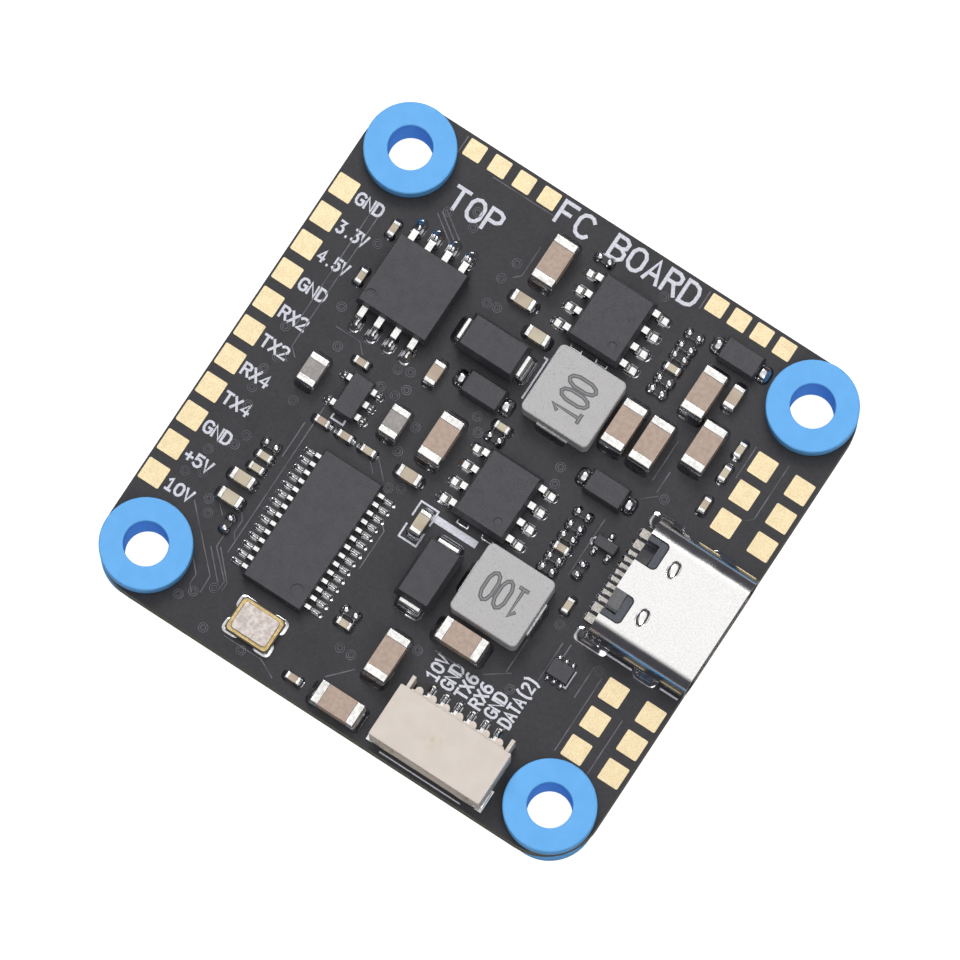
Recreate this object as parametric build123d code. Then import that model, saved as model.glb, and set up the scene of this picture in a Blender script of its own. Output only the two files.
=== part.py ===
from build123d import *

import os

# Flight controller board: a square circuit board on four rubber grommets.
# The origin is the centre of the hole pattern, on the plane of the grommets' lower faces.
# +Z is the component side, +X the edge with the USB socket, +Y the edge with the small
# gold pads in two groups. All sizes are in millimetres.

# ---------------------------------------------------------------- driving dimensions

# Board and grommets
hole_spacing = 30.5
board_side = 36.8
board_thick = 1.6
board_corner = 3.8
board_hole_dia = 4.0
flange_thick = 1.3
flange_dia = 6.0
bore_dia = 2.9
bore_rounding = 0.1
flange_rounding = 0.12
neck_clearance = 0.05

# Gold pads
pad_thick = 0.04
pad_corner = 0.1
left_pad = (1.55, 1.52)
left_pad_x = -17.48
left_pad_first_y = 10.98
left_pad_pitch = 2.2
left_pad_count = 11
top_pad = (1.25, 1.22)
top_pad_y = 17.55
top_pad_count = 4
top_groups = [(-11.83, 1.88), (6.55, 1.705)]
right_pad = (1.5, 1.52)
right_pad_columns = [14.64, 17.42]
right_pad_first_rows = [10.42, -6.9]
right_pad_pitch = 2.165
right_pad_rows = 3

# USB socket
usb_y = -0.5
usb_rear = 11.3
usb_front = 18.55
usb_width = 8.94
usb_height = 3.2
usb_wall = 0.3
usb_leg_centres = [11.7, 15.8]
usb_leg_width = 0.9
usb_leg_slots = [1.6, 1.2]
usb_leg_slot_width = 0.7
usb_leg_reach = 1.2
usb_block_front = 13.3
usb_floor_front = 12.9
tongue_front = 18.0
tongue_width = 6.7
tongue_thick = 0.7
usb_tab = (0.85, 1.5)
usb_tab_inner = 1.05
usb_tab_lean = 26
usb_cut = (1.5, 2.0)
usb_dent_x = 13.75
usb_dent_spread = 3.62
usb_dent = (0.43, 0.65, 0.27)
usb_peg_x = 12.4
usb_peg_spread = 5.78
usb_peg_dia = 0.6

# Six-way wire connector
wire_x = 7.45
wire_front = -17.88
wire_rear = -14.06
wire_ledge = 0.56
wire_tail = -12.75
wire_width = 8.3
wire_height = 2.95
wire_ways = 6
wire_pitch = 1.0

# How far a plated end stands proud of its ceramic, and the softening of moulded edges
plating = 0.03
soft_edge = 0.05

# Levels of the board's two faces
underside = flange_thick
topside = flange_thick + board_thick

# ---------------------------------------------------------------- where parts stand
# Each place is (x, y, turn in degrees) of a part's centre.

cap_1206_places = [
    (-3.53, 14.11, 90),
    (-3.32, 0.61, 90),
    (9.01, 12.21, 90),
    (10.91, 9.28, 90),
    (5.91, 7.66, 90),
    (7.98, 7.69, 90),
    (1.45, -12.9, 90),
    (4.84, -9.46, 0),
    (0.51, -17.16, 0),
]
cap_0805_places = [
    (-12.58, -0.1, 90),
    (-6.39, -0.07, 90),
]
cap_0603_places = [
    (-6.03, 4.03, 90),
    (10.72, 13.1, 90),
    (-1.52, -4.51, 90),
    (-3.89, 11.02, 0),
    (-1.89, 9.58, 0),
    (-3.79, -2.39, 0),
    (-12.52, -8.31, 0),
    (-12.49, -9.76, 0),
]
cap_0402_places = [
    (-13.36, 10.44, 90),
    (-13.4, 6.75, 90),
    (-10.34, 2.09, 0),
    (-0.57, 3.46, 0),
    (6.41, 12.55, 0),
    (12.87, 10.51, 90),
    (12.87, 8.7, 90),
    (12.91, 6.31, 90),
    (9.18, -3.84, 90),
    (6.81, -0.97, 0),
    (-10.33, -2.45, 0),
    (-8.6, -2.46, 0),
    (-6.85, -2.46, 0),
    (-12.16, -6.34, 0),
    (-12.17, -7.25, 0),
    (-2.05, -12.55, 0),
    (-2.83, -17.22, 0),
]
resistor_places = [
    (-1.02, 16.12, 0),
    (6.43, 15.09, 0),
    (6.4, 14.17, 0),
    (6.4, 13.41, 0),
    (6.4, 11.64, 0),
    (6.4, 10.81, 0),
    (-0.59, 2.63, 0),
    (6.8, 1.62, 0),
    (6.8, 0.67, 0),
    (6.8, -0.15, 0),
    (6.8, -1.75, 0),
    (6.8, -2.58, 0),
    (8.55, -1.48, 90),
    (-12.19, -5.48, 0),
    (-11.76, -11.21, 90),
    (-2.05, -11.74, 0),
]
large_diode_places = [
    (-3.75, 7.37, 0),
    (0.83, -7.12, 90),
]
small_diode_places = [
    (-2.78, 4.73, 0),
    (7.22, 3.68, 0),
    (9.72, 15.45, 0),
]
display_chip_place = (-6.92, -8.7, 0)
memory_chip_place = (-10.1, 7.71, 90)
buck_a_place = (1.52, 12.98, 0)
buck_b_place = (1.65, -0.43, 0)
regulator_place = (-9.5, -0.1, 0)
dual_transistor_place = (11.07, -7.62, 90)
transistor_place = (9.1, 0.7, 90)
inductor_a_place = (2.28, 7.41, 90)
inductor_b_place = (5.49, -5.74, 0)
crystal_place = (-6.68, -15.72, 0)

# On the underside
processor_place = (-2.0, 1.0, 0)
motion_sensor_place = (-12.5, 4.5, 0)
pressure_sensor_place = (8.5, 11.5, 0)
low_crystal_place = (-2.0, -8.6, 0)
low_regulator_place = (8.2, -8.6, 0)
button_place = (-10.0, -14.4, 0)
led_places = [
    (15.2, 8.6, 90),
    (15.2, -8.2, 90),
]
low_cap_places = [
    (-9.7, 4.6, 90),
    (-9.7, -2.2, 90),
    (5.7, 4.6, 90),
    (5.7, -2.2, 90),
    (1.2, 8.6, 0),
    (-5.6, 8.6, 0),
    (-12.5, 7.4, 0),
    (8.5, 9.0, 0),
    (-4.6, -8.6, 90),
    (0.6, -8.6, 90),
]
low_resistor_places = [
    (13.0, 8.6, 90),
    (13.0, -8.2, 90),
    (-7.3, -14.4, 90),
    (7.6, -0.3, 0),
    (7.6, 0.9, 0),
]

LOW = (Align.CENTER, Align.CENTER, Align.MIN)


# ---------------------------------------------------------------- shared helpers

def on_top(place):
    """The frame of a part that stands on the component side."""
    x, y, turn = place
    return Pos(x, y, topside) * Rot(0, 0, turn)


def beneath(place):
    """The frame of a part that hangs on the underside."""
    x, y, turn = place
    return Pos(x, y, underside) * Rot(180, 0, 0) * Rot(0, 0, turn)


def save(name, shapes):
    """Write one node from a list of shapes."""
    solids = [solid for shape in shapes for solid in shape.solids()]
    export_step(Compound(solids), f"parts/{name}.step")


def block(length, width, height, z=0.0):
    """A box centred in plan, with its low face at z."""
    return Pos(0, 0, z) * Box(length, width, height, align=LOW)


def ribbon(outline, width):
    """A strip of sheet metal: an outline drawn in x and height, width wide along Y."""
    return Rot(90, 0, 0) * extrude(make_face(outline), amount=width / 2, both=True)


def row(count, pitch):
    """Evenly spaced offsets about zero."""
    return [(i - (count - 1) / 2) * pitch for i in range(count)]


# ---------------------------------------------------------------- packages

def leaning_block(length, width, z_wide, z_narrow, inset):
    """A block whose four sides lean in by inset between two levels."""
    wide = RectangleRounded(length, width, soft_edge)
    narrow = RectangleRounded(length - 2 * inset, width - 2 * inset, soft_edge)
    return loft([Pos(0, 0, z_wide) * wide, Pos(0, 0, z_narrow) * narrow], ruled=True)


def resin_body(length, width, standoff, height, seam, band, inset):
    """A moulded body: widest in a straight band at its seam, where the leads leave it."""
    low, high = seam - band / 2, seam + band / 2
    upper = leaning_block(length, width, high, height, inset)
    lower = leaning_block(length, width, low, standoff, inset * 0.6)
    middle = extrude(Pos(0, 0, low) * RectangleRounded(length, width, soft_edge), band)
    body = upper + middle + lower
    return fillet(body.edges().group_by(Axis.Z)[-1], soft_edge)


def pin_one_dot(body, x, y, dia, height, depth=0.08):
    """Sink the round pin-one mark into a body's top."""
    return body - Pos(x, y, height - depth) * Cylinder(dia / 2, 2 * depth, align=LOW)


def gull_wing(reach, seam, foot, width, thick):
    """One lead along +X: level at the seam, bent down, ending in a flat foot."""
    lean = 0.12 * seam
    heel = reach - foot
    knee = heel - lean
    over = FilletPolyline(
        (0, seam + thick / 2),
        (knee + thick, seam + thick / 2),
        (heel + thick, thick),
        (reach, thick),
        radius=[1.3 * thick, 0.5 * thick],
    )
    under = FilletPolyline(
        (reach, 0),
        (heel, 0),
        (knee, seam - thick / 2),
        (0, seam - thick / 2),
        radius=[1.3 * thick, 0.5 * thick],
    )
    ends = Line((reach, thick), (reach, 0)) + Line((0, seam - thick / 2), (0, seam + thick / 2))
    return ribbon(over + under + ends, width)


def lead_side(offsets, body_width, lead):
    """Leads along one side of a body, at offsets along Y, pointing +X."""
    return [Pos(body_width / 2, y, 0) * lead for y in offsets]


def turned(shapes, angle):
    """The same shapes turned about the part's own vertical axis."""
    return [Rot(0, 0, angle) * shape for shape in shapes]


def small_outline_chip(width, length, height, inset, ways, pitch, span, lead_width, thick):
    """A two-sided chip: returns its body and its leads, which leave the +X and -X sides."""
    seam = height * 0.53
    body = resin_body(width, length, 0.1, height, seam, thick, inset)
    lead = gull_wing((span - width) / 2, seam, min(0.6, (span - width) / 3), lead_width, thick)
    right = lead_side(row(ways, pitch), width, lead)
    return body, right + turned(right, 180)


def flat_lead_chip(width, length, height, right_offsets, left_offsets, span, lead_width):
    """A tiny transistor package, whose flat leads lie on the board from under its body."""
    thick = 0.12
    body = resin_body(width, length, thick, height, 0.3 * height, 0.1, 0.05)
    reach = 0.2
    strip = Pos(span / 2 - (span / 2 - width / 2 + reach) / 2, 0, 0) * Box(
        span / 2 - width / 2 + reach, lead_width, thick, align=LOW
    )
    right = [Pos(0, y, 0) * strip for y in right_offsets]
    left = turned([Pos(0, y, 0) * strip for y in left_offsets], 180)
    return body, right + left


def plated_chip(length, width, height, end_length):
    """A ceramic chip part: returns its ceramic block and its two plated ends."""
    inner = (length - 2 * plating, width - 2 * plating, height - 2 * plating)
    ceramic = block(*inner, z=plating)
    outer = block(end_length, width, height)
    outer = fillet(outer.edges(), min(0.08, 0.12 * height))
    ends = []
    for side in (-1, 1):
        ends.append(Pos(side * (length - end_length) / 2, 0, 0) * outer - ceramic)
    return ceramic, ends


def resistor():
    """A 1.0 x 0.5 chip resistor: ceramic, dark coat on top and plated ends."""
    length, width, height, end_length = 1.0, 0.5, 0.33, 0.22
    ceramic, ends = plated_chip(length, width, height, end_length)
    coat_length = length - 2 * end_length - 0.02
    coat = block(coat_length, width - 2 * plating, plating, z=height - plating)
    return ceramic, coat, ends


def large_diode():
    """A moulded diode, 4.3 x 2.6, whose flat leads fold down and under both ends."""
    length, width, height, seam, thick = 4.3, 2.6, 2.15, 1.15, 0.2
    body = resin_body(length, width, thick, height, seam, thick, 0.24)
    out, tuck = 0.36, 1.1
    outer = FilletPolyline(
        (0, seam + thick / 2),
        (out, seam + thick / 2),
        (out, 0),
        (-tuck, 0),
        radius=[0.25, 0.25],
    )
    inner = FilletPolyline(
        (-tuck, thick),
        (out - thick, thick),
        (out - thick, seam - thick / 2),
        (0, seam - thick / 2),
        radius=[0.05, 0.05],
    )
    ends = Line((-tuck, 0), (-tuck, thick)) + Line((0, seam - thick / 2), (0, seam + thick / 2))
    lead = Pos(length / 2, 0, 0) * ribbon(outer + inner + ends, 1.45)
    return body, [lead, Rot(0, 0, 180) * lead]


def small_diode():
    """A flat-lead diode, 2.8 x 1.7, sitting on two flat leads."""
    thick = 0.16
    body = resin_body(2.8, 1.7, thick, 1.05, 0.36, 0.12, 0.13)
    lead = Pos(1.4, 0, 0) * block(0.95, 1.0, thick)
    return body, [lead, Rot(0, 0, 180) * lead]


def inductor():
    """A moulded square inductor, 5.0 x 5.0 x 2.0, with a terminal at each end along X."""
    side, height, thick, wrap = 5.0, 2.0, 0.12, 1.3
    core = extrude(Pos(0, 0, thick) * RectangleRounded(side, side, 0.4), height - thick)
    core = fillet(core.edges().group_by(Axis.Z)[-1], 0.12)
    climb = 0.75
    outline = Polyline(
        (side / 2 - wrap, 0),
        (side / 2 + thick, 0),
        (side / 2 + thick, climb),
        (side / 2, climb),
        (side / 2, thick),
        (side / 2 - wrap, thick),
        close=True,
    )
    terminal = ribbon(outline, 2.3)
    return core, [terminal, Rot(0, 0, 180) * terminal]


def crystal():
    """A 3.2 x 2.5 crystal: ceramic base, seal ring, lid and four corner terminals."""
    length, width, thick = 3.2, 2.5, 0.04
    base = extrude(Pos(0, 0, thick) * RectangleRounded(length, width, 0.1), 0.46)
    for x in (-length / 2, length / 2):
        for y in (-width / 2, width / 2):
            base -= Pos(x, y, 0) * Cylinder(0.16, 2, align=LOW)
    ring = extrude(Pos(0, 0, 0.5) * RectangleRounded(3.04, 2.34, 0.3), 0.1)
    lid = extrude(Pos(0, 0, 0.6) * RectangleRounded(2.64, 1.96, 0.26), 0.12)
    lid = fillet(lid.edges().group_by(Axis.Z)[-1], 0.06)
    terminals = []
    for x in (-1, 1):
        for y in (-1, 1):
            terminals.append(Pos(x * 1.12, y * 0.85, 0) * block(0.9, 0.75, thick))
    return base, ring, lid, terminals


# ---------------------------------------------------------------- board and grommets

def hole_centres():
    """The four mounting hole centres."""
    half = hole_spacing / 2
    return [(x, y) for x in (-half, half) for y in (-half, half)]


def circuit_board():
    """The laminate with its mounting holes, and slots and holes for the USB socket."""
    board = extrude(
        Pos(0, 0, underside) * RectangleRounded(board_side, board_side, board_corner),
        board_thick,
    )
    drill = Pos(0, 0, underside - 1) * Cylinder(board_hole_dia / 2, board_thick + 2, align=LOW)
    for x, y in hole_centres():
        board -= Pos(x, y, 0) * drill
    leg_y = usb_width / 2 - usb_wall / 2
    for x, length in zip(usb_leg_centres, usb_leg_slots):
        slot = extrude(SlotOverall(length, usb_leg_slot_width), board_thick + 2)
        for side in (-1, 1):
            board -= Pos(x, usb_y + side * leg_y, underside - 1) * slot
    peg_hole = Cylinder(usb_peg_dia / 2 + 0.05, board_thick + 2, align=LOW)
    for side in (-1, 1):
        board -= Pos(usb_peg_x, usb_y + side * usb_peg_spread / 2, underside - 1) * peg_hole
    return board


def grommet():
    """A turned rubber grommet: two flanges, a neck through the board, a rounded bore."""
    rim, bore = flange_dia / 2, bore_dia / 2
    neck = board_hole_dia / 2 - neck_clearance
    top = topside + flange_thick
    profile = Polyline(
        (bore, 0),
        (rim, 0),
        (rim, underside),
        (neck, underside),
        (neck, topside),
        (rim, topside),
        (rim, top),
        (bore, top),
        close=True,
    )
    body = revolve(Plane.XZ * make_face(profile), Axis.Z)
    circles = body.edges().filter_by(GeomType.CIRCLE)
    body = fillet([edge for edge in circles if edge.radius > neck + 0.1], flange_rounding)
    circles = body.edges().filter_by(GeomType.CIRCLE)
    return fillet([edge for edge in circles if abs(edge.radius - bore) < 0.01], bore_rounding)


def gold_pad(size):
    """One flat gold pad with slightly rounded corners."""
    return extrude(RectangleRounded(*size, pad_corner), pad_thick)


def left_pads():
    """The column of pads along the -X edge."""
    pad = gold_pad(left_pad)
    levels = [left_pad_first_y - i * left_pad_pitch for i in range(left_pad_count)]
    return [Pos(left_pad_x, y, topside) * pad for y in levels]


def top_pads():
    """The two groups of small pads along the +Y edge."""
    pad = gold_pad(top_pad)
    pads = []
    for first_x, pitch in top_groups:
        for i in range(top_pad_count):
            pads.append(Pos(first_x + i * pitch, top_pad_y, topside) * pad)
    return pads


def right_pads():
    """Three rows of two pads on each side of the USB socket."""
    pad = gold_pad(right_pad)
    pads = []
    for first_y in right_pad_first_rows:
        for i in range(right_pad_rows):
            for x in right_pad_columns:
                pads.append(Pos(x, first_y - i * right_pad_pitch, topside) * pad)
    return pads


# ---------------------------------------------------------------- USB socket

usb_mid = usb_height / 2
contact_thick = 0.12
strip_width = 0.25
usb_frame = Pos(0, usb_y, topside)


def usb_section(x, inset, length):
    """A length of the socket's rounded section, inset from the outside of the shell."""
    face = SlotOverall(usb_width - 2 * inset, usb_height - 2 * inset)
    return extrude(Plane.YZ.offset(x) * Pos(0, usb_mid) * face, length)


def usb_retaining_tab(side):
    """The tab inside each L-shaped cut, bent down into the plastic along its inner edge."""
    length, width = usb_tab
    tab = Pos(usb_rear + length / 2, width / 2, -usb_wall / 2) * Box(length, width, usb_wall)
    leaning = Pos(0, usb_tab_inner, usb_height) * Rot(-usb_tab_lean, 0, 0) * tab
    return leaning if side > 0 else mirror(leaning, Plane.XZ)


def usb_corner_cut():
    """The rounded outline of one L-shaped cut with its tab, at the shell's rear edge."""
    length, width = usb_cut
    return Pos(usb_rear + length / 2 - 1, usb_tab_inner + width / 2) * RectangleRounded(
        length + 2, width, 0.35
    )


def usb_shell():
    """The drawn steel shell, its rear cuts, spring dents and four board legs."""
    length = usb_front - usb_rear
    shell = usb_section(usb_rear, 0, length) - usb_section(usb_rear - 1, usb_wall, length + 2)
    floor_cut = block(usb_floor_front - usb_rear, usb_width - 1.6, 1.0, z=-0.5)
    shell -= Pos((usb_rear + usb_floor_front) / 2, 0, 0) * floor_cut
    for side in (-1, 1):
        rear_cut = Pos(0, 0, usb_mid) * extrude(usb_corner_cut(), 2)
        shell -= rear_cut if side > 0 else mirror(rear_cut, Plane.XZ)
        shell += usb_retaining_tab(side)
        dent = scale(Sphere(1), by=usb_dent)
        shell -= Pos(usb_dent_x, side * usb_dent_spread / 2, usb_height) * dent
        for x in usb_leg_centres:
            leg = Box(usb_leg_width, usb_wall, usb_mid + usb_leg_reach, align=LOW)
            centre = usb_width / 2 - usb_wall / 2
            shell += Pos(x, side * centre, -usb_leg_reach) * leg
    return shell


def usb_contact_path(level, up):
    """The outline of one contact: a foot behind the socket, a riser, a tongue strip."""
    foot_end, riser, strip_end = usb_rear - 0.8, usb_rear + 0.9, tongue_front - 0.45
    high, low = (level, level - contact_thick) if up else (level + contact_thick, level)
    return Polyline(
        (foot_end, 0),
        (riser, 0),
        (riser, low),
        (strip_end, low),
        (strip_end, high),
        (riser - contact_thick, high),
        (riser - contact_thick, contact_thick),
        (foot_end, contact_thick),
        close=True,
    )


def usb_contacts():
    """Twelve contacts: eight narrow ones between two pairs of wide power contacts."""
    top_strip = usb_contact_path(usb_mid + tongue_thick / 2, True)
    low_strip = usb_contact_path(usb_mid - tongue_thick / 2, False)
    contacts = []
    for i, y in enumerate(row(8, 0.5)):
        outline = top_strip if i % 2 else low_strip
        contacts.append(Pos(0, y, 0) * ribbon(outline, strip_width))
    foot_length = 0.8 + 0.5
    foot = Pos(usb_rear - 0.8 + foot_length / 2, 0, 0) * block(foot_length, 0.55, contact_thick)
    for y in (-3.2, -2.4, 2.4, 3.2):
        both = ribbon(top_strip, strip_width) + ribbon(low_strip, strip_width) + foot
        contacts.append(Pos(0, y, 0) * both)
    return contacts


def usb_mid_plate():
    """The steel plate inside the tongue, between its two rows of contacts."""
    plate = Box(tongue_front - 0.3 - usb_block_front, tongue_width, 0.14)
    return Pos((tongue_front - 0.3 + usb_block_front) / 2, 0, usb_mid) * plate


def usb_insulator():
    """The moulded block at the back of the shell, with the tongue and two board pegs."""
    gap = 0.02
    back = usb_section(usb_rear, usb_wall + gap, usb_block_front - usb_rear)
    floor_length = usb_floor_front - usb_rear - gap
    sole = block(floor_length, usb_width - 1.6 - 2 * gap, usb_mid)
    back += Pos(usb_rear + floor_length / 2, 0, 0) * sole
    tongue_length = tongue_front - usb_block_front
    tongue = Box(tongue_length, tongue_width, tongue_thick)
    tongue = fillet(tongue.edges().filter_by(Axis.Z).group_by(Axis.X)[-1], 0.4)
    body = back + Pos(usb_block_front + tongue_length / 2, 0, usb_mid) * tongue
    key = extrude(offset(usb_corner_cut(), -usb_wall / 3), usb_height - usb_mid - 0.13)
    inside = usb_section(usb_rear, 0, usb_block_front - usb_rear)
    for side in (-1, 1):
        cover = Pos(0, 0, usb_mid) * (key if side > 0 else mirror(key, Plane.XZ))
        body += cover & inside
        room = Box(usb_tab[0] + 0.1, usb_tab[1] + 0.1, 2.1)
        middle = usb_tab_inner + usb_tab[1] / 2
        body -= Pos(usb_rear + usb_tab[0] / 2, side * middle, usb_height) * room
        peg = Pos(0, 0, -0.9) * Cylinder(usb_peg_dia / 2, 1.0, align=LOW)
        body += Pos(usb_peg_x, side * usb_peg_spread / 2, 0) * peg
    for contact in usb_contacts():
        body -= contact
    return body - usb_mid_plate()


# ---------------------------------------------------------------- six-way connector

wire_wall = 0.8
wire_skin = 0.42
wire_ledge_height = 2.1
wire_frame = Pos(wire_x, 0, topside)
hold_down_x = wire_width / 2 - 0.38
hold_down_thick = 0.2


def wire_contact():
    """One contact: a soldered foot, an upright blade and a pin in the plug cavity."""
    thick = 0.2
    foot_length = wire_tail - wire_rear + 0.6
    foot = Pos(0, wire_tail - foot_length / 2, 0) * block(thick, foot_length, 0.25)
    blade = Pos(0, wire_rear + 0.05, 0) * block(thick, 0.5, 1.85)
    pin_length = wire_rear - wire_front - 0.8
    pin = Pos(0, wire_rear - pin_length / 2, 1.3) * block(thick, pin_length, 0.3)
    return foot + blade + pin


def hold_down(side):
    """A steel plate in the housing's side wall, with a solder foot at the front corner."""
    low, high = wire_front - 0.05, wire_rear - 0.3
    plate = Pos(0, (low + high) / 2, 0) * block(hold_down_thick, high - low, 0.9)
    foot = Pos(0.28, wire_front + 0.75, 0) * block(0.56, 1.6, hold_down_thick)
    piece = Pos(hold_down_x, 0, 0) * (plate + foot)
    return piece if side > 0 else mirror(piece, Plane.YZ)


def wire_ledge_shape():
    """The low ledge behind the housing: a round lobe on each side of every contact."""
    lobe = extrude(SlotOverall(4 * wire_ledge, 0.52), wire_ledge_height)
    ledge = block(wire_pitch * wire_ways + 0.9, 0.6, wire_ledge_height)
    ledge = Pos(0, wire_rear - 0.1, 0) * ledge
    for x in row(wire_ways + 1, wire_pitch):
        ledge += Pos(x, wire_rear - wire_ledge, 0) * Rot(0, 0, 90) * lobe
    for side in (-1, 1):
        post = block(0.25, 1.2, wire_ledge_height + 0.3)
        ledge += Pos(side * (wire_ways / 2 + 0.72) * wire_pitch, wire_rear + 0.3, 0) * post
    return ledge


def wire_housing():
    """The moulded housing: a plug cavity open at -Y and a lobed ledge behind."""
    depth = wire_rear - wire_front
    middle_y = (wire_rear + wire_front) / 2
    body = Pos(0, middle_y, 0) * block(wire_width, depth, wire_height)
    body = fillet(body.edges().filter_by(Axis.Z), 0.12)
    body = fillet(body.edges().group_by(Axis.Z)[-1], 0.06)
    body += wire_ledge_shape()
    inner_width = wire_width - 2 * wire_wall
    inner_height = wire_height - 2 * wire_skin
    cavity = block(inner_width, depth, inner_height, z=wire_skin)
    body -= Pos(0, middle_y - 0.6, 0) * cavity
    for side in (-1, 1):
        key = Pos(side * (inner_width / 2 - 0.6), wire_front, 0.1) * block(0.7, 2.2, wire_skin)
        body -= key
        body -= hold_down(side)
    for x in row(wire_ways, wire_pitch):
        body -= Pos(x, 0, 0) * wire_contact()
    return body


# ---------------------------------------------------------------- underside parts

def processor():
    """The 64-lead flat pack: a 10 mm body with sixteen leads on each side."""
    side, height, seam, thick, span = 10.0, 1.1, 0.58, 0.13, 12.0
    body = resin_body(side, side, 0.06, height, seam, thick, 0.1)
    body = pin_one_dot(body, -4.1, 4.1, 0.9, height)
    lead = gull_wing((span - side) / 2, seam, 0.5, 0.22, thick)
    one_side = lead_side(row(16, 0.5), side, lead)
    leads = [lead for angle in (0, 90, 180, 270) for lead in turned(one_side, angle)]
    return body, leads


def motion_sensor():
    """A 2.5 x 3.0 land-grid sensor."""
    body = block(2.5, 3.0, 0.86)
    body = fillet(body.edges().group_by(Axis.Z)[-1], 0.04)
    return pin_one_dot(body, -0.85, 1.1, 0.3, 0.86, 0.03)


def pressure_sensor():
    """A 2.0 x 2.5 pressure sensor: laminate base and drawn metal lid with a vent."""
    base = block(2.0, 2.5, 0.3)
    lid = extrude(Pos(0, 0, 0.3) * RectangleRounded(1.86, 2.36, 0.25), 0.62)
    lid = fillet(lid.edges().group_by(Axis.Z)[-1], 0.12)
    lid -= Pos(0.4, 0.7, 0.3) * Cylinder(0.15, 2, align=LOW)
    lid -= extrude(Pos(0, 0, 0.3) * RectangleRounded(1.66, 2.16, 0.15), 0.52)
    return base, lid


def light():
    """A status LED: base with its lens."""
    base = block(1.6, 0.8, 0.28)
    lens = leaning_block(1.1, 0.76, 0.28, 0.62, 0.06)
    return base, lens


button_side = (3.0, 2.6)
button_height = 0.6
cover_thick = 0.1
well_dia = 1.9
well_floor = 0.1
plunger_dia = 1.1
plunger_flange_dia = 1.6
plunger_flange = 0.1
plunger_proud = 0.22
button_play = 0.01
flange_level = button_height - cover_thick - plunger_flange - button_play


def button_frame():
    """The button's moulded frame, with a round well open away from the board."""
    frame = block(*button_side, button_height - cover_thick)
    return frame - Pos(0, 0, well_floor) * Cylinder(well_dia / 2, button_height, align=LOW)


def button_dome():
    """The domed contact spring, which fills the height between the well and the plunger."""
    radius, thick = well_dia / 2 - 0.05, 0.04
    rise = flange_level - well_floor - button_play
    ball_radius = (radius**2 + rise**2) / (2 * rise)
    ball = Sphere(ball_radius) - Sphere(ball_radius - thick)
    cap = Pos(0, 0, well_floor - (ball_radius - rise)) * ball
    return cap & block(2 * radius + 1, 2 * radius + 1, 1, z=well_floor)


def button_plunger():
    """The pressed button: a disc trapped under the cover, with a stem through it."""
    frame = Pos(0, 0, flange_level)
    flange = frame * Cylinder(plunger_flange_dia / 2, plunger_flange, align=LOW)
    stem_height = plunger_flange + button_play + cover_thick + plunger_proud
    stem = frame * Cylinder(plunger_dia / 2, stem_height, align=LOW)
    body = flange + stem
    return fillet(body.edges().group_by(Axis.Z)[-1], 0.06)


def button_cover():
    """The thin steel cover that holds the plunger in, with folded side tabs."""
    cover = block(*button_side, cover_thick, z=button_height - cover_thick)
    tab = Pos(button_side[0] / 2 + 0.05, 0, 0.15) * block(0.1, 1.2, button_height - 0.15)
    cover += tab
    cover += Rot(0, 0, 180) * tab
    hole = Cylinder(plunger_dia / 2 + 0.05, 2, align=LOW)
    return cover - hole


def button_terminals():
    """Four flat solder tails at the frame's corners."""
    y = button_side[1] / 2 + 0.2
    return [Pos(x, s * y, 0) * block(0.5, 0.4, 0.1) for x in (-1, 1) for s in (-1, 1)]


# ---------------------------------------------------------------- build every node

os.makedirs("parts", exist_ok=True)

save("circuit_board", [circuit_board()])
save("grommets", [Pos(x, y, 0) * grommet() for x, y in hole_centres()])
save("gold_pads_left", left_pads())
save("gold_pads_top", top_pads())
save("gold_pads_right", right_pads())

save("usb_shell", [usb_frame * usb_shell()])
save("usb_insulator", [usb_frame * usb_insulator()])
save("usb_contacts", [usb_frame * contact for contact in usb_contacts()])
save("usb_mid_plate", [usb_frame * usb_mid_plate()])

save("connector_housing", [wire_frame * wire_housing()])
save(
    "connector_contacts",
    [wire_frame * Pos(x, 0, 0) * wire_contact() for x in row(wire_ways, wire_pitch)],
)
save("connector_hold_downs", [wire_frame * hold_down(side) for side in (-1, 1)])

# Video overlay chip, 28 leads
body, leads = small_outline_chip(4.4, 9.7, 1.1, 0.11, 14, 0.65, 6.4, 0.25, 0.13)
body = pin_one_dot(body, 1.3, -3.8, 0.9, 1.1)
save("display_chip_body", [on_top(display_chip_place) * body])
save("display_chip_leads", [on_top(display_chip_place) * lead for lead in leads])

# Memory chip, eight leads on a wide body
body, leads = small_outline_chip(5.23, 5.28, 1.85, 0.13, 4, 1.27, 7.9, 0.42, 0.2)
body = pin_one_dot(body, -1.85, 2.0, 0.75, 1.85)
save("memory_chip_body", [on_top(memory_chip_place) * body])
save("memory_chip_leads", [on_top(memory_chip_place) * lead for lead in leads])

# Two buck converter chips, eight leads each
body, leads = small_outline_chip(3.9, 4.9, 1.55, 0.22, 4, 1.27, 6.0, 0.42, 0.2)
body = pin_one_dot(body, 1.0, -1.5, 0.6, 1.55)
for name, place in (("a", buck_a_place), ("b", buck_b_place)):
    save(f"buck_chip_{name}_body", [on_top(place) * body])
    save(f"buck_chip_{name}_leads", [on_top(place) * lead for lead in leads])

# Five-lead regulators, one on each side of the board
seam = 0.55
body = resin_body(1.6, 2.9, 0.08, 1.1, seam, 0.13, 0.1)
lead = gull_wing(0.6, seam, 0.3, 0.4, 0.13)
leads = lead_side([-0.95, 0, 0.95], 1.6, lead)
leads += turned(lead_side([-0.95, 0.95], 1.6, lead), 180)
frames = [on_top(regulator_place), beneath(low_regulator_place)]
save("regulator_bodies", [frame * body for frame in frames])
save("regulator_leads", [frame * lead for frame in frames for lead in leads])

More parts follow.
